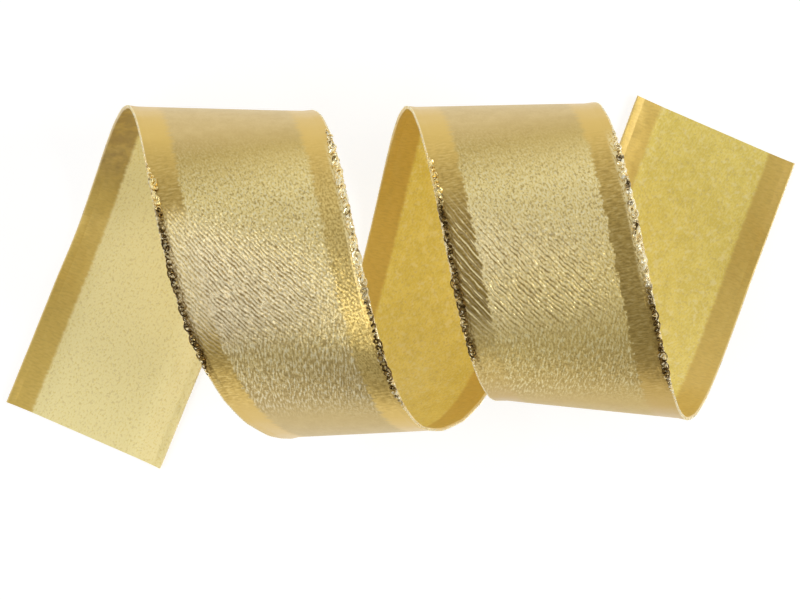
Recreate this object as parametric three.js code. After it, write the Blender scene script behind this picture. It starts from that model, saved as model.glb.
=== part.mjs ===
// A length of wired-edge metallic gift ribbon, curled into two loose turns and lying on a table.
// Millimetres, +Z up, +X along the curl's axis. The origin is on the table, under the middle of the object.
//
// The ribbon is one flat strip, so it is modelled flat and then curled: each band of the weave is
// extruded straight, and every cross-section of it is carried to its place on the curl. The curl is
// a row of straight fold lines, each bending the strip by the same small angle, so the strip keeps
// its width and length, as cloth does.
import * as THREE from "three";

// ---- Driving dimensions, mm ----
const RIBBON_WIDTH = 38; // a standard 1 1/2 inch ribbon
const SELVEDGE_WIDTH = 1.9; // metallic thread overcast round the edge wire
const SATIN_WIDTH = 4.1; // smooth border between the selvedge and the centre panel
const BAND_GAP = 0.3; // clearance between neighbouring bands
const WEB_THICKNESS = 0.4;
const SELVEDGE_THICKNESS = 1.0;
const SELVEDGE_WALL = 0.2;
const WIRE_DIAMETER = 0.4;
const LEFT_TAIL = 42.5; // straight lengths that lie on the table
const RIGHT_TAIL = 24;
const LEFT_CUT_SLANT = -1; // degrees off a square cut
const RIGHT_CUT_SLANT = -3.5;

// ---- The curl, degrees and mm ----
const TOTAL_TURN = 725.4; // two turns, plus the little that lays the right tail flat again
const FOLD_LINES = 97;
const TAIL_HEADING = 22.2; // the left tail's lean from +Y towards +X
// Bend radius at every quarter turn, from the left tail to the right tail.
const BEND_RADII = [34, 33.5, 35, 33, 35.5, 31.5, 33, 31, 47];
// Slant of the fold line from square across the ribbon, at every eighth of a turn.
const FOLD_SLANTS = [22, 20, 15, 17, 25, 18, -6, 34, 11, 16, 15, 9, 11, 17, 18, 13.4, 16.1];
// How the weave curves in its own plane, radians per metre, at every quarter turn: the edge wires
// have slipped a little in their selvedges, so the strip isn't dead straight.
const SWAYS = [-1, -1.5, -0.5, 0.5, 0.5, -0.5, 0, 0, -0.5];

const rad = THREE.MathUtils.degToRad;

// A smooth run of values through evenly spaced stations; at(share) reads it, share 0 to 1.
function runThrough(values) {
  const curve = new THREE.SplineCurve(values.map((value, i) => new THREE.Vector2(i, value)));
  return (share) => curve.getPoint(share).y;
}

// ---- Fold lines of the curled strip ----
// Each is a line across the ribbon: its middle, its direction (unit length), how far it runs along
// itself for each millimetre across the ribbon, and the mitre that offsets the cloth's two faces.
function foldLines() {
  const radiusAt = runThrough(BEND_RADII);
  const slantAt = runThrough(FOLD_SLANTS.map(rad));
  const swayAt = runThrough(SWAYS.map((perMetre) => perMetre / 1000));
  const step = rad(TOTAL_TURN) / (FOLD_LINES - 1);
  const heading = rad(TAIL_HEADING);
  const along = new THREE.Vector3(Math.sin(heading), Math.cos(heading), 0);
  const across = new THREE.Vector3(Math.cos(heading), -Math.sin(heading), 0);
  const middle = new THREE.Vector3();
  const lines = [];

  const lineAt = (slant, offset, normal) => ({
    middle: middle.clone().addScaledVector(along, offset),
    direction: along.clone().multiplyScalar(Math.sin(slant)).addScaledVector(across, Math.cos(slant)),
    stretch: 1 / Math.cos(slant),
    mitre: normal,
  });
  const outward = () => new THREE.Vector3().crossVectors(along, across);
  const turn = (axis, angle) => {
    along.applyAxisAngle(axis, angle);
    across.applyAxisAngle(axis, angle);
  };

  lines.push(lineAt(rad(LEFT_CUT_SLANT), -LEFT_TAIL, outward()));
  for (let i = 0; i < FOLD_LINES; i++) {
    const share = i / (FOLD_LINES - 1);
    if (i > 0) {
      const last = (i - 1) / (FOLD_LINES - 1);
      const pace = ((radiusAt(share) + radiusAt(last)) / 2) * step;
      const sway = ((swayAt(share) + swayAt(last)) / 2) * pace;
      turn(outward(), sway / 2);
      middle.addScaledVector(along, pace);
      turn(outward(), sway / 2);
    }
    const line = lineAt(slantAt(share), 0);
    const before = outward();
    const angle = i === 0 || i === FOLD_LINES - 1 ? step / 2 : step;
    turn(line.direction, angle);
    line.mitre = before.add(outward()).divideScalar(1 + Math.cos(angle));
    lines.push(line);
  }
  lines.push(lineAt(rad(RIGHT_CUT_SLANT), RIGHT_TAIL, outward()));
  return lines;
}

// ---- Bands ----
// Extrudes a cross-section (x across the ribbon, y out of its face) and carries it round the curl.
function curledBand(corners, lines) {
  const section = new THREE.Shape(corners.map(([x, y]) => new THREE.Vector2(x, y)));
  const steps = lines.length - 1;
  const geometry = new THREE.ExtrudeGeometry(section, { depth: steps, steps, bevelEnabled: false });
  const position = geometry.getAttribute("position");
  const point = new THREE.Vector3();
  for (let i = 0; i < position.count; i++) {
    point.fromBufferAttribute(position, i);
    const line = lines[Math.round(point.z)];
    const { x, y } = point;
    point.copy(line.middle).addScaledVector(line.direction, x * line.stretch).addScaledVector(line.mitre, y);
    position.setXYZ(i, point.x, point.y, point.z);
  }
  geometry.computeVertexNormals();
  return geometry;
}

function flatBand(from, to) {
  const half = WEB_THICKNESS / 2;
  return [[from, -half], [to, -half], [to, half], [from, half]];
}

// The selvedge is folded over the wire from outside, so its mouth faces the satin border.
function foldedBand(from, to) {
  const half = SELVEDGE_THICKNESS / 2;
  const inner = half - SELVEDGE_WALL;
  return [[from, -half], [to, -half], [to, half], [from, half],
    [from, inner], [to - SELVEDGE_WALL, inner], [to - SELVEDGE_WALL, -inner], [from, -inner]];
}

function wireSection(centre) {
  const sides = 6;
  return Array.from({ length: sides }, (_, i) => {
    const angle = (i * 2 * Math.PI) / sides;
    return [centre + (WIRE_DIAMETER / 2) * Math.cos(angle), (WIRE_DIAMETER / 2) * Math.sin(angle)];
  });
}

// The same section on the other edge, with its corners still running anticlockwise.
function mirrored(corners) {
  return corners.map(([x, y]) => [-x, y]).reverse();
}

// ---- Assembly ----
const centreEdge = RIBBON_WIDTH / 2 - SELVEDGE_WIDTH - SATIN_WIDTH;
const satinEdge = RIBBON_WIDTH / 2 - SELVEDGE_WIDTH;
const wirePlace = RIBBON_WIDTH / 2 - SELVEDGE_WALL - (SELVEDGE_WIDTH - SELVEDGE_WALL) / 2;
const satin = flatBand(centreEdge + BAND_GAP / 2, satinEdge - BAND_GAP / 2);
const selvedge = foldedBand(satinEdge + BAND_GAP / 2, RIBBON_WIDTH / 2);
const wire = wireSection(wirePlace);

const lame = new THREE.MeshStandardMaterial({ color: 0xc9b184, roughness: 0.45, metalness: 0.7 });
const satinGold = new THREE.MeshStandardMaterial({ color: 0xb98f45, roughness: 0.3, metalness: 0.8 });
const thread = new THREE.MeshStandardMaterial({ color: 0xe3cf96, roughness: 0.35, metalness: 0.8 });
const softWire = new THREE.MeshStandardMaterial({ color: 0xb9a27a, roughness: 0.3, metalness: 1 });

const bands = [
  ["centre_panel", flatBand(-centreEdge + BAND_GAP / 2, centreEdge - BAND_GAP / 2), lame],
  ["left_satin_border", mirrored(satin), satinGold],
  ["right_satin_border", satin, satinGold],
  ["left_selvedge", mirrored(selvedge), thread],
  ["right_selvedge", selvedge, thread],
  ["left_edge_wire", mirrored(wire), softWire],
  ["right_edge_wire", wire, softWire],
];

const ribbon = new THREE.Group();
const lines = foldLines();
for (const [name, corners, material] of bands) {
  const band = new THREE.Mesh(curledBand(corners, lines), material);
  band.name = name;
  ribbon.add(band);
}

// Stand the ribbon on the table, with the origin under its middle.
const box = new THREE.Box3().setFromObject(ribbon);
const centre = box.getCenter(new THREE.Vector3());
ribbon.position.set(-centre.x, -centre.y, -box.min.z);

export default ribbon;
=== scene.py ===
"""A curled length of gold wired-edge gift ribbon, in its studio. The ribbon's strip is worked out flat, in
millimetres along (s) and across (v) the weave, and every piece is carried to its place on the curl."""
import math
from types import SimpleNamespace
import bpy
import numpy as np
from mathutils import Matrix, Vector


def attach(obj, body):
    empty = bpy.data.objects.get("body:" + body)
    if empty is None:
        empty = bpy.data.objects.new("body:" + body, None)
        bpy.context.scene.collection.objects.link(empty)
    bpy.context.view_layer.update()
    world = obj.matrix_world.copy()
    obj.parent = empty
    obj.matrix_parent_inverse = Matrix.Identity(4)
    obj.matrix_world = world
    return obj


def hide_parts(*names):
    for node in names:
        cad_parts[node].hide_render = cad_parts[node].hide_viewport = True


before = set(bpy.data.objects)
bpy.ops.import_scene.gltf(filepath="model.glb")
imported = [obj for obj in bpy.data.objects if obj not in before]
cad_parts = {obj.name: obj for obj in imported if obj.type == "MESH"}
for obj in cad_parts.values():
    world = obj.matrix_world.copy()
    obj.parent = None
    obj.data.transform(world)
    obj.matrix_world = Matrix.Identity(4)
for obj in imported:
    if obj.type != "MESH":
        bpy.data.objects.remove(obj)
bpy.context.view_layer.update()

# ---- The strip and its curl: the model's own driving values, mm and degrees ----
HALF_WIDTH = 19.0
PANEL_EDGE = 13.0  # from the middle of the ribbon, as is SATIN_EDGE
SATIN_EDGE = 17.1
LEFT_TAIL = 42.5  # from the cut end to the first fold line, along the middle
RIGHT_TAIL = 24.0
LEFT_CUT_SLANT = -1.0
RIGHT_CUT_SLANT = -3.5
TOTAL_TURN = 725.4
TAIL_HEADING = 22.2
# evenly spaced from the first fold line to the last; the sways bend the strip in its own plane, radians per m
BEND_RADII = [34, 33.5, 35, 33, 35.5, 31.5, 33, 31, 47]
FOLD_SLANTS = [22, 20, 15, 17, 25, 18, -6, 34, 11, 16, 15, 9, 11, 17, 18, 13.4, 16.1]
SWAYS = [-1, -1.5, -0.5, 0.5, 0.5, -0.5, 0, 0, -0.5]
MID_HEIGHT = 0.5  # of the web's middle above the table, on the flat tails

# ---- Cloth ----
WEB_THICKNESS = 0.3
HEM_WALL = 0.13  # at the nose
HEM_LINING = 0.12  # the same at the mouth
HEM_REACH = 0.34  # outer radius of the fold
HEM_CORNERS = 9
STITCH = 0.85  # pitch of the whipped thread
LOOP = 1.15  # pitch of the loose thread's curls
BUNCH = 3.6  # length of one bunch of stitches
THREAD_END = 0.4  # how far short of the cut ends the threads stop
THREAD_REST = 0.14  # how high a thread's middle stays above the table
WIRE_RADIUS = 0.2
WIRE_PLACE = 17.95  # from the middle of the ribbon
WIRE_SIDES = 10
# the edges wave: radians per mm along, the shift either way at the two edges, and the share of each wave
EDGE_WAVES = ((0.62, 1.3, 0.5), (0.23, 2.1, 0.6), (1.31, -1.0, 0.2))
WAVE_HEIGHT = 0.10
WAVE_FROM = 9.0  # how far from the middle of the ribbon the waves start
EDGE_CUP = 0.019  # rise of the edges on the flat tails, per mm squared beyond CUP_FROM
CUP_FROM = 11.0
TAKE_OFF = (LEFT_TAIL - 14, LEFT_TAIL + 6)  # s where the strip leaves the table
LANDING = (462, 482)  # s where it comes down on to the table again
FOLD_LINES = 769
TAIL_ROW = 0.7  # spacing of the rows that cross a tail
CLOTH_SMOOTH = 50  # an edge sharper than this many degrees shows as an edge
THREAD_SMOOTH = 70
PANEL_COLUMNS, BORDER_COLUMNS = 26, 5

# ---- Camera: its sensor and lens in mm, its place in metres and its tilt in degrees ----
SENSOR_WIDTH = 36.0
LENS = 103.7
CAMERA_PLACE = (0.0260, -0.0038, 0.5177)
CAMERA_TILT = 2.818

MM = 0.001


# ---- The curled strip ----
def smooth_step(x, low, high):
    t = np.clip((x - low) / (high - low), 0, 1)
    return t * t * (3 - 2 * t)


def smooth_run(values, count):
    """Catmull-Rom curve through evenly spaced values, read at count evenly spaced places."""
    values = np.array(values, dtype=float)
    last = len(values) - 1
    place = np.linspace(0, last, count)
    i = np.minimum(place.astype(int), last - 1)
    t = place - i
    p0, p1, p2 = values[np.maximum(i - 1, 0)], values[i], values[i + 1]
    p3 = values[np.minimum(i + 2, last)]
    m1, m2 = (p2 - p0) / 2, (p3 - p1) / 2
    return (2 * p1 - 2 * p2 + m1 + m2) * t**3 + (3 * p2 - 3 * p1 - 2 * m1 - m2) * t**2 + m1 * t + p1


def turned(vector, axis, angle):
    """vector turned about a unit axis."""
    c, s = math.cos(angle), math.sin(angle)
    return vector * c + np.cross(axis, vector) * s + axis * np.dot(axis, vector) * (1 - c)


class Curl:
    """The rows of the strip: each is a straight line across the ribbon, a fold line or a cut end."""

    def __init__(self):
        step = math.radians(TOTAL_TURN) / (FOLD_LINES - 1)
        radius = smooth_run(BEND_RADII, FOLD_LINES)
        slant = np.radians(smooth_run(FOLD_SLANTS, FOLD_LINES))
        sway = smooth_run(SWAYS, FOLD_LINES) / 1000
        heading = math.radians(TAIL_HEADING)
        along = np.array([math.sin(heading), math.cos(heading), 0.0])
        across = np.array([math.cos(heading), -math.sin(heading), 0.0])
        middle = np.zeros(3)
        gone = LEFT_TAIL
        rows = [self.row(math.radians(LEFT_CUT_SLANT), -LEFT_TAIL, along, across, middle, 0.0)]
        for i in range(FOLD_LINES):
            if i > 0:
                pace = (radius[i] + radius[i - 1]) / 2 * step
                half_sway = (sway[i] + sway[i - 1]) / 4 * pace
                normal = np.cross(along, across)
                along, across = turned(along, normal, half_sway), turned(across, normal, half_sway)
                middle = middle + along * pace
                along, across = turned(along, normal, half_sway), turned(across, normal, half_sway)
                gone += pace
            row = self.row(slant[i], 0.0, along, across, middle, gone)
            angle = step / 2 if i in (0, FOLD_LINES - 1) else step
            axis = row["reach"] * math.cos(slant[i])
            before = np.cross(along, across)
            along, across = turned(along, axis, angle), turned(across, axis, angle)
            row["mitre"] = (before + np.cross(along, across)) / (1 + math.cos(angle))
            rows.append(row)
        self.length = gone + RIGHT_TAIL
        rows.append(self.row(math.radians(RIGHT_CUT_SLANT), RIGHT_TAIL, along, across, middle, self.length))
        self.middle = np.array([r["middle"] for r in rows])
        self.reach = np.array([r["reach"] for r in rows])
        self.mitre = np.array([r["mitre"] for r in rows])
        self.s = np.array([r["s"] for r in rows])
        self.lean = np.array([r["lean"] for r in rows])
        self.fill_tails()
        self.stand_on_table()

    @staticmethod
    def row(slant, offset, along, across, middle, s):
        return {
            "middle": middle + along * offset,
            "reach": (along * math.sin(slant) + across * math.cos(slant)) / math.cos(slant),
            "mitre": np.cross(along, across),
            "s": s,
            "lean": math.tan(slant),
        }

    def fill_tails(self):
        """Adds rows between each cut end and the first or last fold line."""
        count = len(self.s)
        left = np.linspace(0, 1, int(LEFT_TAIL / TAIL_ROW), endpoint=False)
        right = np.linspace(count - 2, count - 1, int(RIGHT_TAIL / TAIL_ROW) + 1)[1:]
        place = np.concatenate([left, np.arange(1, count - 1), right])
        parts = (self.middle, self.reach, self.mitre, self.s, self.lean)
        self.middle, self.reach, self.mitre, self.s, self.lean = (self.between(a, place) for a in parts)

    @staticmethod
    def between(values, place):
        """values read at fractional row numbers."""
        i = np.minimum(place.astype(int), len(values) - 2)
        t = place - i
        if values.ndim > 1:
            t = t[..., None]
        return values[i] * (1 - t) + values[i + 1] * t

    def stand_on_table(self):
        edges = np.concatenate([self.middle - self.reach * HALF_WIDTH, self.middle + self.reach * HALF_WIDTH])
        low, high = edges.min(axis=0), edges.max(axis=0)
        self.middle = self.middle - [(low[0] + high[0]) / 2, (low[1] + high[1]) / 2, 0]
        self.middle[:, 2] += MID_HEIGHT

    def rows_at(self, v, w):
        """Points of every row at v across and w out of the face, and their s along the strip."""
        v, w = np.broadcast_arrays(v, w)
        v, w = v[None, :], w[None, :]
        s = self.s[:, None] + v * self.lean[:, None]
        w = w + lift(s, v)
        points = self.middle[:, None] + v[..., None] * self.reach[:, None]
        return points + w[..., None] * self.mitre[:, None], s

    def points_at(self, s, v, w):
        """Points anywhere on the strip, given their flat place s, v and their height w."""
        row = np.interp(s, self.s, np.arange(len(self.s)))
        # the rows slant, so the row through a point off the middle is found step by step
        for _ in range(30):
            row = np.interp(s - v * self.between(self.lean, row), self.s, np.arange(len(self.s)))
        middle, reach, mitre = (self.between(a, row) for a in (self.middle, self.reach, self.mitre))
        w = w + lift(s, v)
        return middle + v[:, None] * reach + w[:, None] * mitre


def lift(s, v):
    """How far the cloth stands out of its smooth curl: the edges wave a little, and cup up off the table."""
    edge = np.clip((np.abs(v) - WAVE_FROM) / (HALF_WIDTH - WAVE_FROM), 0, 1) ** 2
    wave = sum(np.sin(s * rate + np.sign(v) * shift) * size for rate, shift, size in EDGE_WAVES)
    on_table = 1 - smooth_step(s, *TAKE_OFF) + smooth_step(s, *LANDING)
    cup = on_table * np.clip(np.abs(v) - CUP_FROM, 0, None) ** 2 * EDGE_CUP
    return edge * wave * WAVE_HEIGHT - cup


curl = Curl()


# ---- Meshes ----
def mesh_piece(name, points, faces, flat, smooth_angle=CLOTH_SMOOTH):
    """A mesh object from points in millimetres. flat holds each point's s, v and side for the materials."""
    mesh = bpy.data.meshes.new(name)
    mesh.from_pydata((points * MM).tolist(), [], faces)
    mesh.validate()
    store = mesh.attributes.new("flat", "FLOAT_VECTOR", "POINT")
    store.data.foreach_set("vector", flat.astype(np.float32).ravel())
    mesh.shade_smooth()
    mesh.set_sharp_from_angle(angle=math.radians(smooth_angle))
    piece = bpy.data.objects.new(name, mesh)
    bpy.context.scene.collection.objects.link(piece)
    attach(piece, "root")
    return piece


def skin(rows, corners):
    """Faces of a closed band of rows with the same number of corners each, and a face at either end."""
    row = np.arange(rows - 1)[:, None] * corners
    here = (row + np.arange(corners)).ravel()
    beside = (row + (np.arange(corners) + 1) % corners).ravel()
    faces = np.stack([here, beside, beside + corners, here + corners], axis=1).tolist()
    faces.append(list(range(corners))[::-1])
    faces.append([(rows - 1) * corners + i for i in range(corners)])
    return faces


def band_piece(name, section):
    """Carries a closed section, a loop of (v, w) corners running anticlockwise, along the whole curl."""
    section = np.array(section)
    points, s = curl.rows_at(section[:, 0], section[:, 1])
    side = np.where(section[:, 1] >= 0, 1.0, -1.0)
    flat = np.stack([s, np.broadcast_to(section[:, 0], s.shape), np.broadcast_to(side, s.shape)], axis=-1)
    return mesh_piece(name, points.reshape(-1, 3), skin(*s.shape), flat.reshape(-1, 3))


def sheet_section(low, high, columns):
    """A thin web from v = low to v = high: its inner face, then its outer face."""
    half = WEB_THICKNESS / 2
    v = np.linspace(low, high, columns + 1)
    return [(x, -half) for x in v] + [(x, half) for x in v[::-1]]


def hem_section(side):
    """A narrow band folded round the edge wire, seen end on: a U lying on its side."""
    nose = HALF_WIDTH - HEM_REACH

    def fold(radius, mouth):
        arc = np.linspace(-math.pi / 2, math.pi / 2, HEM_CORNERS)
        bend = [(nose + radius * math.cos(a), radius * math.sin(a)) for a in arc]
        return [(SATIN_EDGE, -mouth)] + bend + [(SATIN_EDGE, mouth)]

    half = WEB_THICKNESS / 2
    loop = fold(HEM_REACH, half) + fold(HEM_REACH - HEM_WALL, half - HEM_LINING)[::-1]
    return loop if side > 0 else [(-v, w) for v, w in loop[::-1]]


def wire_section(side):
    """The round wire that lies in the hem."""
    angles = np.arange(WIRE_SIDES) * 2 * math.pi / WIRE_SIDES
    return [(side * WIRE_PLACE + WIRE_RADIUS * math.cos(a), WIRE_RADIUS * math.sin(a)) for a in angles]


def tube(path, wide, thick, sides=6):
    """Points and faces of a flattened thread along a path of points. Its two radii change along it."""
    along = np.gradient(path, axis=0)
    along /= np.linalg.norm(along, axis=1)[:, None]
    normal = np.zeros_like(path)
    first = np.cross(along[0], [0.3, 0.5, 0.8])  # any direction that the path doesn't take
    normal[0] = first / np.linalg.norm(first)
    for i in range(1, len(path)):
        n = normal[i - 1] - along[i] * np.dot(normal[i - 1], along[i])
        normal[i] = n / np.linalg.norm(n)
    other = np.cross(along, normal)
    angles = np.arange(sides) * 2 * math.pi / sides
    wide = (wide[:, None] * np.cos(angles))[..., None]
    thick = (thick[:, None] * np.sin(angles))[..., None]
    points = path[:, None] + (normal[:, None] * wide + other[:, None] * thick)
    return points.reshape(-1, 3), skin(len(path), sides)


# ---- Nodes of a material ----
class Recipe:
    """Builds a material's nodes. An input may be a socket or a plain value. Below, r is a recipe."""

    def __init__(self, name):
        self.material = bpy.data.materials.new(name)
        self.material.use_nodes = True
        self.tree = self.material.node_tree
        self.tree.nodes.clear()

    def node(self, kind, inputs=(), out=0, **settings):
        made = self.tree.nodes.new(kind)
        for key, value in settings.items():
            setattr(made, key, value)
        for key, value in dict(inputs).items():
            self.feed(made.inputs[key], value)
        return made.outputs[out]

    def feed(self, socket, value):
        if isinstance(value, bpy.types.NodeSocket):
            self.tree.links.new(value, socket)
        else:
            socket.default_value = value

    def maths(self, operation, a, b=0.0, c=0.0):
        return self.node("ShaderNodeMath", {0: a, 1: b, 2: c}, operation=operation)

    def times(self, first, *others):
        """The product of all its inputs."""
        for other in others:
            first = self.maths("MULTIPLY", first, other)
        return first

    def line(self, value, slope, start):
        """value * slope + start."""
        return self.maths("MULTIPLY_ADD", value, slope, start)

    def ramp(self, value, low, high, to_low=0.0, to_high=1.0):
        inputs = {0: value, 1: low, 2: high, 3: to_low, 4: to_high}
        return self.node("ShaderNodeMapRange", inputs, interpolation_type="SMOOTHSTEP")

    def bump(self, strength, distance, height, **inputs):
        inputs.update(Strength=strength, Distance=distance, Height=height)
        return self.node("ShaderNodeBump", inputs)

    def blend(self, factor, a, b, mode="MIX"):
        made = self.tree.nodes.new("ShaderNodeMix")
        made.data_type = "RGBA"
        made.blend_type = mode
        self.feed(made.inputs[0], factor)
        self.feed(made.inputs[6], a)
        self.feed(made.inputs[7], b)
        return made.outputs[2]

    def tone(self, value, span, stops):
        """A colour read along a run of (value, colour) stops, which lie within the span."""
        low, high = span
        made = self.tree.nodes.new("ShaderNodeValToRGB")
        self.feed(made.inputs[0], self.node("ShaderNodeMapRange", {0: value, 1: low, 2: high}))
        run = made.color_ramp.elements
        while len(run) < len(stops):
            run.new(0.5)
        for stop, (where, colour) in zip(run, stops):
            stop.position = (where - low) / (high - low)
            stop.color = (*colour, 1)
        return made.outputs[0]

    def finish(self, **principled):
        shader = self.tree.nodes.new("ShaderNodeBsdfPrincipled")
        for key, value in principled.items():
            self.feed(shader.inputs[key.replace("_", " ")], value)
        end = self.tree.nodes.new("ShaderNodeOutputMaterial")
        self.tree.links.new(shader.outputs[0], end.inputs["Surface"])
        return self.material


def flat_place(r):
    """The place on the flat strip in millimetres: the whole attribute, then its s and its v."""
    place = r.node("ShaderNodeAttribute", attribute_name="flat", out=1)
    parts = r.tree.nodes.new("ShaderNodeSeparateXYZ")
    r.feed(parts.inputs[0], place)
    return place, parts.outputs[0], parts.outputs[1]


def srgb(r, g, b):
    """A colour given in 0 to 255 display values, as a linear one."""
    linear = [(c / 255 / 12.92) if c <= 10 else ((c / 255 + 0.055) / 1.055) ** 2.4 for c in (r, g, b)]
    return (*linear, 1.0)


# ---- Where things are on the ribbon ----
# s at the middle of the two strands that lie level on top, where the cloth is sheared into fine creases
LEVEL_STRANDS = (150.0, 364.0)

# Stretches of a level strand, by the distance along s from its middle: where each one sets in, where it is
# full, where it starts to fade and where it ends
# The next two are painted shade on the curls and on the hem's face: shadow between the loops and dark
# reflection
LEFT_PAINTED_SHADE = (-19.0, -12.0, 16.0, 25.0)  # painted shade
RIGHT_PAINTED_SHADE = (5.0, 13.0, 29.0, 38.0)
RIGHT_HIGHLIGHT = (-28.0, -20.0, 4.0, 11.0)  # painted highlight on the hem's face under the right thread
HANDLED = (-36.0, -12.0, 25.0, 39.0)  # lively grain
CREST = (-32.0, -16.0, 8.0, 30.0)  # painted sheen on the panel
FOOT = (6.0, 15.0, 27.0, 38.0)  # upright strokes in place of creases
PALE_BORDER = (-24.0, -8.0, 20.0, 32.0)  # the first strand's right border
SHEARED_BORDER = (-18.0, -12.0, 4.0, 14.0)  # the first strand's left border
RAKED_BORDER = (-15.0, -4.0, 11.0, 20.0)  # the second strand's left border: painted shade and highlights
MIXED_BORDER = (6.0, 14.0, 28.0, 36.0)  # the same one, further down
DIM_BORDER = (18.0, 28.0, 44.0, 60.0)  # painted shade on both borders at the second strand's foot
RISING_TAIL_SHADE = (50.0, 64.0, 88.0, 104.0)  # by s itself: painted shade on the left border where the left tail rises
HEM_FACE = (16.7, 17.6, 18.45, 18.7)  # by the distance across from the middle of the ribbon


def window(r, value, rise, full, fall, end):
    """1 between full and fall, easing to 0 at rise and at end."""
    return r.times(r.ramp(value, rise, full), r.ramp(value, fall, end, 1.0, 0.0))


def strand_place(r, s):
    """How far along s lies from the middle of its level strand, and whether that is the second one."""
    first, second = LEVEL_STRANDS
    late = r.maths("GREATER_THAN", s, (first + second) / 2)
    return r.maths("SUBTRACT", s, r.line(late, second - first, first)), late


def plane(r, here, v, per_here, per_v):
    """A coordinate that grows by per_here and per_v for each millimetre along and across the strip."""
    return r.line(here, per_here, r.times(v, per_v))


def vector(r, x, y):
    """A place for a noise that has been stretched or slanted."""
    made = r.tree.nodes.new("ShaderNodeCombineXYZ")
    r.feed(made.inputs[0], x)
    r.feed(made.inputs[1], y)
    return made.outputs[0]


def noise(r, place, scale=1.0, detail=2.0, out=0):
    return r.node("ShaderNodeTexNoise", {"Vector": place, "Scale": scale, "Detail": detail}, out=out)


# ---- The weave ----
YARNS_PER_MM = 1.9  # panel yarns that turn back at a border, along it
PLAIN_BLUR = 0.9  # softness of the panel's edge where the cloth hasn't been handled, in mm
YELLOWER = (0.97, 0.94, 0.76, 1)
COAT_ROUGHNESS = 0.35


def survey(r, look):
    """Where a point lies on the strip, and the stretches and noises that the parts of the weave share."""
    place, s, v = flat_place(r)
    here, late = strand_place(r, s)
    handled = window(r, plane(r, here, v, 1.0, -0.17), *HANDLED)
    return SimpleNamespace(
        place=place, s=s, v=v, here=here, late=late,
        edge=r.maths("ABSOLUTE", v),
        left=r.maths("LESS_THAN", v, 0.0),
        right=r.maths("GREATER_THAN", v, 0.0),
        level=r.maths("MAXIMUM", handled, look["everywhere"]),
        crest=window(r, here, *CREST),
        foot=window(r, here, *FOOT),
        # how far the borders of the first strand and of the second one may differ from plain satin
        first=r.line(late, -look["sheared"], look["sheared"]),
        second=r.times(late, look["sheared"]),
        # noises: the yarns, broad clouds, bands across the strip, upright strokes and slanting streaks
        grain=noise(r, place, 1.7, 3.0),
        cloud=noise(r, place, 0.45, 3.0),
        cross=noise(r, vector(r, r.times(s, 2.4), r.times(v, 0.7))),
        upright=noise(r, vector(r, plane(r, here, v, 0.62, -0.23), plane(r, here, v, 0.85, 2.4))),
        streaks=noise(r, vector(r, plane(r, here, v, 1.5, 0.5), plane(r, here, v, -0.6, 2.5)), 1.0, 3.0),
    )


def border_share(r, at, look):
    """How much of a point is satin border, not panel, and how far the borders are altered there."""
    # the panel's yarns turn back one by one, so its edge is in steps
    count = r.maths("FLOOR", r.times(at.s, YARNS_PER_MM))
    yarn = r.node("ShaderNodeTexWhiteNoise", {"W": count}, noise_dimensions="1D")
    turn_back = r.line(yarn, look["teeth"], PANEL_EDGE - look["teeth"] / 2)
    # the first strand's right border is paler and mixes with the panel
    paled = r.times(window(r, at.here, *PALE_BORDER), at.right, at.first)
    blur = r.line(at.level, look["blur"] - PLAIN_BLUR, PLAIN_BLUR)
    blur = r.line(paled, 0.6, blur)
    beyond = r.maths("SUBTRACT", at.edge, turn_back)
    satin = r.ramp(beyond, r.times(blur, -1.0), blur)
    # painted light: on the left tail the right border gives way to the panel's paler colour and duller shine,
    # for the light it reflects there
    lit_border = r.times(r.ramp(at.s, 38.0, 62.0, look["lit_border"], 0.0), at.right)
    # the first strand's left border is sheared so finely that it looks like the panel
    sheared = r.times(window(r, at.here, *SHEARED_BORDER), r.ramp(at.v, -12.5, -12.0, 1.0, 0.0), at.first)
    # the second strand's left border is painted dark, for shade and dark reflection, with thin painted
    # highlights along its creases, and then mixes with the panel
    second_left = r.times(r.maths("LESS_THAN", at.v, -12.0), at.second)
    raking = window(r, plane(r, at.here, at.v, 1.0, -0.3), *RAKED_BORDER)
    mixed = r.times(window(r, at.here, *MIXED_BORDER), second_left)
    satin = r.times(satin, r.line(lit_border, -1.0, 1.0), r.line(sheared, -1.0, 1.0), r.line(mixed, -0.65, 1.0))
    raked_shade = r.times(raking, second_left)
    return satin, SimpleNamespace(paled=paled, sheared=sheared, raking=raking, raked_shade=raked_shade)


def crease_lines(r, at, pitch):
    """A gently fanning family of fine creases: their height, -1 to 1, the broken lines of painted shade
    between them, and the painted highlights on the tops of a coarser family beside them."""
    straight_on = plane(r, at.here, at.v, -0.60, 0.84)
    fan = r.line(r.times(at.here, at.v), -0.007, straight_on)
    wander = noise(r, vector(r, r.times(at.here, 0.22), r.times(at.v, 0.4)), 1.0, 3.0)
    phase = r.line(wander, 1.3, fan)
    wave = r.maths("SINE", r.times(phase, 2 * math.pi / pitch))
    coarse_pitch = 1.6 * pitch
    breaks = noise(r, vector(r, r.times(phase, 1.2), plane(r, at.here, at.v, 0.42, 0.22)))
    lines = r.times(r.ramp(wave, -0.95, -0.15, 1.0, 0.0), r.ramp(breaks, 0.40, 0.56))
    straight = r.line(wander, 0.5, fan)
    tops = r.ramp(r.maths("SINE", r.times(straight, 2 * math.pi / coarse_pitch)), 0.60, 0.95)
    return wave, lines, r.times(tops, r.ramp(breaks, 0.38, 0.56, 0.25, 1.0))


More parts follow.
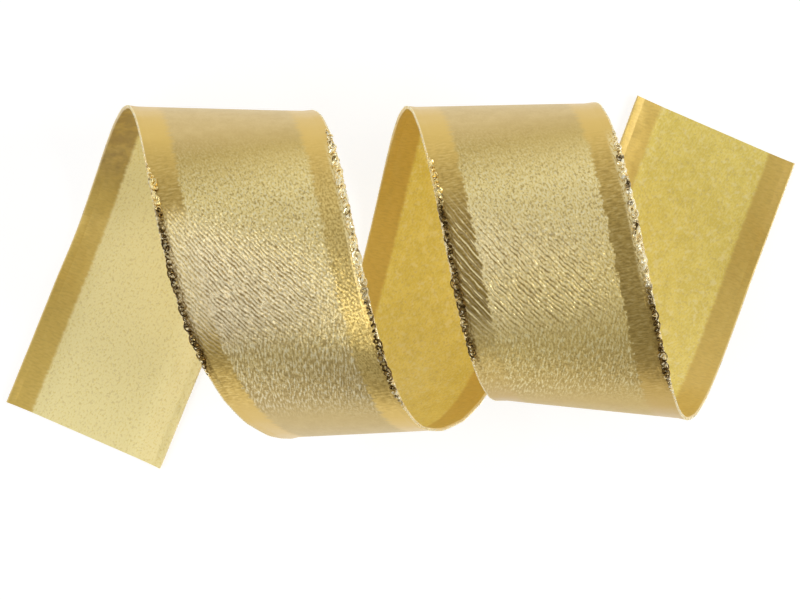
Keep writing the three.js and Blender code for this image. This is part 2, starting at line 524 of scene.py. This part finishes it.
def panel_colour(r, at, creased, look):
    """The panel's yarns and painted light, from broad to fine: clouds, painted sheen, flecks, specks and
    strokes.
    """
    colour = r.blend(r.ramp(at.cloud, 0.3, 0.7), look["panel_dark"], look["panel"])
    # painted light: the left tail painted paler, for the light it catches
    colour = r.blend(r.ramp(at.s, 55.0, 95.0, look["tail_pale"], 0.0), colour, look["pale"])
    # painted sheen: the panel paler across the middle of each level strand
    colour = r.blend(r.times(at.crest, look["bright"]), colour, look["pale"])
    # painted sheen: pale pinkish over the creases, weaker on the second strand and towards the edges
    to_the_side = r.times(r.ramp(at.v, -14.0, 10.0, 1.0, 0.35), r.ramp(at.v, -16.0, -11.0, 0.5, 1.0))
    pink_sheen = r.times(creased, r.line(at.late, -0.6 * look["pink_sheen"], look["pink_sheen"]), to_the_side)
    colour = r.blend(pink_sheen, colour, look["sheen"])
    calm = r.line(at.foot, -0.65, 1.0)
    flecks = r.times(r.ramp(at.streaks, 0.46, 0.66), at.level, look["flecks"], calm)
    raised = r.times(r.ramp(at.upright, 0.36, 0.50, look["flecks"], 0.0), at.foot)
    colour = r.blend(r.maths("MAXIMUM", flecks, raised), colour, look["fleck"])
    shade = r.times(r.ramp(at.streaks, 0.34, 0.48, 1.0, 0.0), at.level, look["shade"])
    colour = r.blend(shade, colour, look["panel_deep"])
    specks = r.times(r.ramp(at.grain, 0.56, 0.66), at.level, look["specks"], calm)
    colour = r.blend(specks, colour, look["speck"])
    blotches = r.ramp(noise(r, at.place, 0.75, 3.0), 0.54, 0.68)
    colour = r.blend(r.times(blotches, look["blotches"]), colour, look["pale"])
    strokes = r.times(r.ramp(at.upright, 0.48, 0.60), at.foot)
    strokes = r.times(strokes, r.line(at.late, -0.4 * look["strokes"], look["strokes"]))
    colour = r.blend(strokes, colour, look["stroke"])
    # painted light and shade along the level strand
    colour = r.blend(1.0, colour, r.tone(at.here, TONE_SPAN, look["painted_shading"]), mode="MULTIPLY")
    yellow = r.times(at.second, r.ramp(at.here, -6.0, 6.0))
    return r.blend(yellow, colour, YELLOWER, mode="MULTIPLY")


def border_colour(r, at, altered, look):
    """The satin border's fine bands, with dark marks and glints, and the stretches that differ, three of them
    painted shade.
    """
    colour = r.blend(at.cross, look["satin_dark"], look["satin"])
    marked = r.times(at.level, look["marks"])
    colour = r.blend(r.times(r.ramp(at.cross, 0.48, 0.64), marked), colour, look["satin_mark_and_shade"])
    colour = r.blend(r.times(r.ramp(at.cross, 0.34, 0.48, 1.0, 0.0), marked), colour, look["satin_glint"])
    mottle = r.ramp(at.streaks, 0.42, 0.60, 0.10, 1.0)
    colour = r.blend(r.times(altered.paled, mottle), colour, look["border_pale"])
    # painted shade: both borders at the second strand's foot, and the second strand's left border
    dimmed = r.times(window(r, at.here, *DIM_BORDER), at.second, 0.5)
    # painted shade on the left border where the left tail rises, mottled by the clouds
    tail_shade = r.times(window(r, at.s, *RISING_TAIL_SHADE), at.left, r.ramp(at.cloud, 0.3, 0.7, look["tail_shade"], 0.3))
    for darker in (dimmed, r.times(altered.raked_shade, 0.6), tail_shade):
        colour = r.blend(darker, colour, look["satin_mark_and_shade"])
    return colour


def hem_colour(r, at, colour, look):
    """The hem's face under the worked thread: painted shade, mottled, where the thread is painted dark, and a
    painted highlight where it is painted bright. Also returns how much of that painted highlight there is."""
    on_hem = r.times(window(r, at.edge, *HEM_FACE), look["hem"])
    dark_left = r.times(window(r, at.here, *LEFT_PAINTED_SHADE), at.left)
    dark_right = r.times(window(r, at.here, *RIGHT_PAINTED_SHADE), at.right)
    dark = r.times(r.line(dark_right, 0.4, dark_left), r.ramp(at.streaks, 0.40, 0.58, 1.0, 0.25))
    # painted highlight on the right hem's face
    light = r.times(window(r, at.here, *RIGHT_HIGHLIGHT), at.right, r.ramp(at.streaks, 0.40, 0.50), on_hem)
    colour = r.blend(light, colour, look["highlight"])
    return r.blend(r.times(on_hem, dark), colour, look["dark"]), light


def tipped_normal(r, at, amount):
    """The face's normal, tipped a little by each yarn, so that the yarns catch the light their own ways."""
    tip = noise(r, at.place, 2.0, 1.0, out=1)
    tip = r.node("ShaderNodeVectorMath", {0: tip, 1: (0.5, 0.5, 0.5)}, operation="SUBTRACT")
    tip = r.node("ShaderNodeVectorMath", {0: tip, "Scale": amount}, operation="SCALE")
    normal = r.node("ShaderNodeNewGeometry", out=1)
    normal = r.node("ShaderNodeVectorMath", {0: normal, 1: tip}, operation="ADD")
    return r.node("ShaderNodeVectorMath", {0: normal}, operation="NORMALIZE")


def web_material(name, look):
    r = Recipe(name)
    at = survey(r, look)
    satin, altered = border_share(r, at, look)
    wave, lines, tops = crease_lines(r, at, look["pitch"])
    creased = r.ramp(plane(r, at.here, at.v, 1.0, -0.45), -13.0, 1.0)
    creased = r.times(creased, r.ramp(at.here, 8.0, 18.0, 1.0, 0.0), r.ramp(at.v, 4.0, 15.0, 1.0, 0.15))
    lively = r.times(r.line(satin, look["satin_grain"] - 1.0, 1.0), at.level, r.line(at.foot, -0.35, 1.0))

    # colour
    panel = panel_colour(r, at, creased, look)
    colour = r.blend(satin, panel, border_colour(r, at, altered, look))
    # painted shade: broken dark lines in the crease valleys
    lines = r.times(lines, creased, r.line(altered.raked_shade, -0.8, 1.0))
    lines = r.times(lines, r.ramp(at.v, -16.0, -10.0, 0.5, 1.0), look["lines"])
    colour = r.blend(lines, colour, look["dark"])
    # painted highlights on the crease tops
    gleam = r.times(r.ramp(wave, 0.35, 0.90), creased, r.line(at.late, -0.6 * look["gleams"], look["gleams"]))
    colour = r.blend(gleam, colour, look["gleam"])
    # painted highlights: thin bright lines on the second strand's left border
    highlight = r.times(altered.raking, r.ramp(at.v, -13.5, -6.0, 1.0, 0.0), at.second, tops)
    colour = r.blend(highlight, colour, look["highlight"])
    colour, hem_light = hem_colour(r, at, colour, look)
    # painted highlight: a paler rim along the fold's nose
    rim = r.ramp(at.edge, 18.6, 18.85, 0.0, look["rim"])
    colour = r.blend(rim, colour, look["rim_colour"])

    # shine: the painted highlights, the sheared border and the panel's painted sheen are less like bare
    # metal, which would only mirror the dark ceiling
    metal = r.line(satin, look["satin_metallic"] - look["metallic"], look["metallic"])
    sheen_panel = r.times(at.crest, at.second, r.line(satin, -1.0, 1.0))
    painted_highlights = ((highlight, 0.9), (hem_light, 0.8), (gleam, 0.35), (altered.sheared, 0.4), (sheen_panel, 0.25))
    for pale, share in painted_highlights:
        metal = r.times(metal, r.line(pale, -share, 1.0))
    roughness = r.line(satin, look["satin_roughness"] - look["roughness"], look["roughness"])
    roughness = r.line(r.maths("SUBTRACT", at.grain, 0.5), 0.12, roughness)

    # relief
    ridges = r.times(creased, r.line(altered.raked_shade, -0.75 * look["ridges"], look["ridges"]))
    height = r.times(at.grain, lively, look["grain"])
    height = r.line(wave, ridges, height)
    height = r.line(at.cross, look["cross"], height)
    height = r.line(noise(r, at.place, 0.22, 1.0), r.ramp(at.edge, 9.0, 16.0, 0.0, look["swell"]), height)
    normal = tipped_normal(r, at, r.times(lively, look["tip"]))
    normal = r.bump(1.0, look["relief"] * MM, height, Normal=normal)
    return r.finish(Base_Color=colour, Roughness=roughness, Metallic=metal, Normal=normal,
                    Coat_Weight=look["coat"], Coat_Roughness=COAT_ROUGHNESS)


# Painted light and shade on the panel from the crest of a level strand to its foot, by the distance from its
# middle
STRAND_SHADING = [
    (-36, (0.95, 0.95, 1.0)), (-27, (0.80, 0.77, 0.60)), (-16, (1.0, 1.0, 0.92)), (-4, (0.96, 0.95, 0.88)),
    (6, (0.97, 0.96, 0.93)), (17, (1.0, 0.99, 0.93)), (30, (0.88, 0.88, 0.88)),
]
PLAIN = [(0, (1, 1, 1))]
TONE_SPAN = (-60.0, 60.0)

OUTER = {
    # colours of the panel, of its marks and creases, and of the borders. Some are painted light and shade:
    # the pinkish sheen, the gleams, the bright lines, the rim, and the dark of the crease valleys and the
    # edge
    "panel": (0.70, 0.53, 0.215, 1), "panel_dark": (0.66, 0.49, 0.19, 1), "panel_deep": (0.50, 0.36, 0.12, 1),
    "painted_shading": STRAND_SHADING, "pale": (1.0, 0.82, 0.37, 1), "sheen": (0.95, 0.79, 0.53, 1),
    "fleck": (1.0, 0.92, 0.64, 1), "speck": (0.32, 0.20, 0.05, 1), "stroke": (0.42, 0.29, 0.10, 1),
    "dark": (0.24, 0.14, 0.03, 1), "gleam": (1.0, 0.90, 0.66, 1), "highlight": (1.0, 0.86, 0.46, 1),
    "satin": (0.72, 0.51, 0.15, 1), "satin_dark": (0.64, 0.44, 0.12, 1), "satin_mark_and_shade": (0.36, 0.23, 0.06, 1),
    "satin_glint": (0.92, 0.72, 0.30, 1), "border_pale": (1.0, 0.77, 0.28, 1),
    "rim_colour": (1.0, 0.86, 0.56, 1),
    # how much of each there is
    "bright": 0.85, "tail_pale": 0.0, "pink_sheen": 0.75, "flecks": 0.75, "shade": 0.7, "specks": 0.55,
    "blotches": 0.0, "strokes": 0.65, "lines": 0.8, "gleams": 0.55, "marks": 0.5, "tail_shade": 0.0, "hem": 0.9,
    "rim": 0.7, "sheared": 0.9, "lit_border": 0.0, "everywhere": 0.05,
    # lengths, mm
    "teeth": 0.8, "blur": 0.15, "pitch": 0.74, "relief": 0.045,
    # relief and shine
    "grain": 0.8, "satin_grain": 0.4, "ridges": 0.8, "cross": 0.3, "swell": 0.0, "tip": 0.95,
    "roughness": 0.44, "satin_roughness": 0.33, "metallic": 0.88, "satin_metallic": 0.95, "coat": 0.0,
}
INNER = dict(
    OUTER, panel=(0.97, 0.79, 0.18, 1), panel_dark=(0.86, 0.68, 0.12, 1), panel_deep=(0.80, 0.62, 0.11, 1),
    painted_shading=PLAIN, pale=(1.0, 0.87, 0.41, 1), fleck=(1.0, 0.88, 0.46, 1), speck=(0.72, 0.56, 0.20, 1),
    dark=(0.72, 0.56, 0.20, 1), satin=(0.78, 0.56, 0.13, 1), satin_dark=(0.74, 0.52, 0.11, 1),
    bright=0.0, tail_pale=0.95, pink_sheen=0.0, flecks=0.35, shade=0.45, specks=0.45, blotches=0.55, strokes=0.0,
    lines=0.0, gleams=0.0, marks=0.15, tail_shade=0.75, hem=0.0, rim=0.3, sheared=0.0, lit_border=0.85, everywhere=1.0,
    teeth=0.3, blur=0.5, grain=0.4, ridges=0.0, swell=10.0, tip=0.25,
    roughness=0.45, satin_roughness=0.52, metallic=0.15, satin_metallic=0.55, coat=0.6,
)

# ---- Threads ----
# The right curls take the paler BRIGHT_GOLD, with less metal than the left curls: a painted highlight for the
# light that edge catches. The whipped threads on both edges are BRIGHT_GOLD too.
BRIGHT_GOLD = ((1.0, 0.95, 0.72, 1), (1.0, 0.80, 0.38, 1))
YELLOW_GOLD = ((1.0, 0.86, 0.44, 1), (0.86, 0.64, 0.24, 1))
SILVERY = (srgb(226, 214, 186), srgb(196, 182, 150))
BROWN, DARK_BROWN = (0.26, 0.16, 0.045, 1), (0.05, 0.028, 0.008, 1)


def thread_material(name, light, deep, roughness, metallic=1.0, shaded_stretch=None):
    """Bright metallic yarn, changing along its length. The last argument is the stretch of each level strand
    in which the yarn is painted dark, in BROWN and DARK_BROWN: painted shade, for shadow and dark reflection."""
    r = Recipe(name)
    place = r.node("ShaderNodeTexCoord", out=3)
    fine = noise(r, place, 1600.0)
    broad = noise(r, place, 420.0)
    colour = r.blend(r.ramp(fine, 0.35, 0.65), deep, light)
    metal = metallic
    if shaded_stretch:
        here = strand_place(r, flat_place(r)[1])[0]
        # painted shade along the level strand's stretch, and dark patches at random all along the thread
        darkened = r.times(window(r, here, *shaded_stretch), r.ramp(broad, 0.56, 0.66, 1.0, 0.15))
        darkened = r.maths("MAXIMUM", darkened, r.ramp(broad, 0.32, 0.42, 0.9, 0.0))
        colour = r.blend(darkened, colour, r.blend(r.ramp(fine, 0.3, 0.7), DARK_BROWN, BROWN))
        metal = r.line(darkened, 1.0 - metallic, metallic)
    rough = r.ramp(broad, 0.3, 0.7, roughness * 0.7, roughness * 1.4)
    return r.finish(Base_Color=colour, Roughness=rough, Metallic=metal, Normal=r.bump(0.6, 0.05 * MM, fine))


def looseness(s, low, high, delay):
    """0 where the thread lies tight along the edge, 1 where the level strands have worked it loose. On the
    second strand it starts later, by delay."""
    loose = 0.0
    for middle, wait in zip(LEVEL_STRANDS, (0.0, delay)):
        start, end = middle + low + wait, middle + high
        loose = loose + smooth_step(s, start - 6, start + 4) - smooth_step(s, end - 4, end + 6)
    return loose


def hem_path(t):
    """A point of the hem's outside, seen end on: t runs from 0, deep on the outer face, to 1, at the nose."""
    places = [0, 0.6, 0.85, 1.0]
    return np.interp(t, places, [17.6, 18.62, 18.95, 19.02]), np.interp(t, places, [0.36, 0.38, 0.24, -0.05])


def whipped_thread(rng, low, high, delay):
    """A thread whipped to and fro over the edge, in bunches: its s, v and w, and its two radii."""
    stitches = int(curl.length / STITCH)
    turn = np.linspace(0, stitches, stitches * 10)
    deep = np.interp(turn, np.arange(stitches + 1), rng.uniform(0, 1, stitches + 1))
    s = turn * curl.length / stitches
    slack = looseness(s, low, high, delay)
    bunched = 0.5 + 0.5 * np.sin(s * 2 * math.pi / BUNCH + deep)
    s = s + slack * 0.45 * np.sin(s * 2 * math.pi / BUNCH)
    sweep = 0.5 - 0.5 * np.cos(turn * 2 * math.pi)
    start = 0.74 - slack * (0.15 + 0.40 * deep * bunched)
    v, w = hem_path(start + (0.97 - start) * sweep)
    w = w + 0.03 + slack * (0.04 + 0.08 * bunched)
    return s, v, w, 0.11 + 0.04 * slack, 0.05 + 0.03 * slack


def loose_thread(rng, low, high, delay, beads, inset):
    """A thread along the edge, pulled out into curls where the strands lie level, and fattened into beads."""
    loops = int(curl.length / LOOP)
    turn = np.linspace(0, loops * 2 * math.pi, loops * 14)
    ends = np.arange(loops + 1) * 2 * math.pi
    wobble, drift, gap = (np.interp(turn, ends, rng.uniform(-1, 1, loops + 1)) for _ in range(3))
    s = turn / (2 * math.pi) * curl.length / loops
    slack = looseness(s, low, high, delay)
    fat = looseness(s, *beads, delay) * (0.5 + 0.5 * np.sin(s * 2 * math.pi / BUNCH + drift))
    s = s + slack * (0.60 + 0.45 * wobble) * np.sin(turn)
    reach = 0.50 + 0.32 * wobble - 0.10 * fat
    v = 18.98 - inset * slack - 0.22 * fat + slack * (0.26 * drift + reach * np.cos(turn + 0.8 * gap))
    w = 0.02 + slack * (0.50 + 0.16 * np.sin(turn * 2 + wobble) + 0.08 * drift)
    wide = 0.06 + 0.13 * slack + 0.46 * fat
    thick = 0.05 + 0.09 * slack + 0.26 * fat
    return s, v, w, wide, thick


# ---- Pieces ----
def dress_web(piece, outer, inner):
    """The outer face takes the first material, and the inner face and the cut sides the second."""
    piece.data.materials.append(outer)
    piece.data.materials.append(inner)
    side = np.zeros(len(piece.data.vertices) * 3, dtype=np.float32)
    piece.data.attributes["flat"].data.foreach_get("vector", side)
    side = side.reshape(-1, 3)[:, 2]
    for face in piece.data.polygons:
        face.material_index = 0 if side[list(face.vertices)].min() > 0 else 1


outer_cloth = web_material("outer_face", OUTER)
inner_cloth = web_material("inner_face", INNER)
wire_metal = thread_material("wire_metal", *SILVERY, 0.3)

panel = band_piece("brocade_panel", sheet_section(-PANEL_EDGE, PANEL_EDGE, PANEL_COLUMNS))
dress_web(panel, outer_cloth, inner_cloth)
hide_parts("centre_panel")


def thread_piece(name, side, thread, material):
    """A thread on one edge, from its s, v, w and radii, short of the cut ends and clear of the table."""
    on_strip = (thread[0] > THREAD_END) & (thread[0] < curl.length - THREAD_END)
    s, v, w, wide, thick = (values[on_strip] for values in thread)
    path = curl.points_at(s, side * v, w)
    path[:, 2] = np.maximum(path[:, 2], THREAD_REST)
    points, faces = tube(path, wide, thick)
    flat = np.repeat(np.stack([s, side * v, w], axis=1), len(points) // len(s), axis=0)
    piece = mesh_piece(name, points, faces, flat, smooth_angle=THREAD_SMOOTH)
    piece.data.materials.append(material)
    return piece


# For each edge: its curls' gold and how metallic they are, the stretch of each level strand where its threads
# are loose and how much later that starts on the second one, its stretches of beads and of painted shade, and
# how far in from the edge its curls sit
EDGES = (
    (-1, "left", YELLOW_GOLD, 0.85, (-25.0, 18.0, 0.0), (-25.0, -14.0), LEFT_PAINTED_SHADE, 0.60),
    (1, "right", BRIGHT_GOLD, 0.55, (-30.0, 33.0, 6.0), (-24.0, 8.0), RIGHT_PAINTED_SHADE, 0.52),
)
with_web = []
for side, hand, gold, metallic, worked_loose, beads, shaded_stretch, inset in EDGES:
    edges = sorted((side * PANEL_EDGE, side * SATIN_EDGE))
    border = band_piece(f"{hand}_satin_band", sheet_section(*edges, BORDER_COLUMNS))
    dress_web(border, outer_cloth, inner_cloth)
    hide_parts(f"{hand}_satin_border")

    hem = band_piece(f"{hand}_folded_hem", hem_section(side))
    dress_web(hem, outer_cloth, inner_cloth)
    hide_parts(f"{hand}_selvedge")

    rng = np.random.default_rng(7 + side)
    plain = thread_material(f"{hand}_whipping", *BRIGHT_GOLD, 0.30, metallic=0.5)
    whipping = thread_piece(f"{hand}_whipped_thread", side, whipped_thread(rng, *worked_loose), plain)
    curls = thread_material(f"{hand}_curls", *gold, 0.24, metallic=metallic, shaded_stretch=shaded_stretch)
    loose = thread_piece(f"{hand}_loose_thread", side, loose_thread(rng, *worked_loose, beads, inset), curls)

    wire = band_piece(f"{hand}_wire", wire_section(side))
    wire.data.materials.append(wire_metal)
    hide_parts(f"{hand}_edge_wire")
    with_web += [border, hem, whipping, loose, wire]


# ---- Studio ----
def area_light(name, place, aim, size, radiance):
    """A soft box. Its power gives it the same brightness to look at, whatever its size."""
    light = bpy.data.lights.new(name, "AREA")
    light.shape = "RECTANGLE"
    light.size, light.size_y = size
    light.energy = radiance * math.pi * size[0] * size[1]
    lamp = bpy.data.objects.new(name, light)
    lamp.location = place
    back = (Vector(place) - Vector(aim)).normalized()
    wide = Vector((0, 1, 0)).cross(back).normalized()
    lamp.rotation_euler = Matrix((wide, back.cross(wide), back)).transposed().to_euler()
    bpy.context.scene.collection.objects.link(lamp)


def floor():
    """White paper that glows a little, so that it shows as plain white with a faint shadow."""
    half = 3.0
    mesh = bpy.data.meshes.new("floor")
    corners = [(-half, -half, 0), (half, -half, 0), (half, half, 0), (-half, half, 0)]
    mesh.from_pydata(corners, [], [(0, 1, 2, 3)])
    sheet = bpy.data.objects.new("floor", mesh)
    bpy.context.scene.collection.objects.link(sheet)
    paper = Recipe("lit_paper")
    grain = paper.node("ShaderNodeTexNoise", {"Scale": 300.0, "Detail": 3.0})
    shade = paper.blend(grain, (0.34, 0.34, 0.34, 1), (0.36, 0.36, 0.36, 1))
    glow = {"Emission_Color": (1, 1, 1, 1), "Emission_Strength": 0.77}
    mesh.materials.append(paper.finish(Base_Color=shade, Roughness=0.9, **glow))


# The room's brightness by the cosine of the angle from its darkest side, which is overhead and to the front.
DARK_SIDE = (0.05, -0.45, 0.90)
ROOM = [
    (-1.0, 1.0), (-0.45, 0.92), (-0.28, 0.80), (0.0, 0.70),
    (0.31, 0.57), (0.57, 0.42), (0.74, 0.30), (1.0, 0.24),
]


def room():
    """The world that the metal mirrors: pale low down and behind, dark overhead."""
    world = bpy.data.worlds.new("studio")
    bpy.context.scene.world = world
    world.use_nodes = True
    nodes, links = world.node_tree.nodes, world.node_tree.links
    place = nodes.new("ShaderNodeTexCoord")
    cosine = nodes.new("ShaderNodeVectorMath")
    cosine.operation = "DOT_PRODUCT"
    cosine.inputs[1].default_value = Vector(DARK_SIDE).normalized()
    share = nodes.new("ShaderNodeMapRange")
    share.inputs[1].default_value = -1.0
    ramp = nodes.new("ShaderNodeValToRGB")
    links.new(place.outputs["Generated"], cosine.inputs[0])
    links.new(cosine.outputs["Value"], share.inputs[0])
    links.new(share.outputs[0], ramp.inputs[0])
    links.new(ramp.outputs[0], nodes["Background"].inputs[0])
    stops = ramp.color_ramp.elements
    while len(stops) < len(ROOM):
        stops.new(0.5)
    for stop, (cosine_here, level) in zip(stops, ROOM):
        stop.position = (cosine_here + 1) / 2
        stop.color = (level, level, level, 1)


def studio():
    floor()
    room()
    middle = (0, 0, 0.04)
    area_light("key", (-0.44, -0.08, 0.80), middle, (0.30, 0.95), 2.2)
    area_light("side", (0.70, -0.10, 0.66), middle, (0.35, 0.50), 6.0)


def camera():
    data = bpy.data.cameras.new("camera")
    data.sensor_width = SENSOR_WIDTH
    data.lens = LENS
    shot = bpy.data.objects.new("camera", data)
    shot.location = CAMERA_PLACE
    shot.rotation_euler = (0.0, math.radians(CAMERA_TILT), 0.0)
    bpy.context.scene.collection.objects.link(shot)
    bpy.context.scene.camera = shot


studio()
camera()
bpy.context.scene.view_settings.view_transform = "Standard"
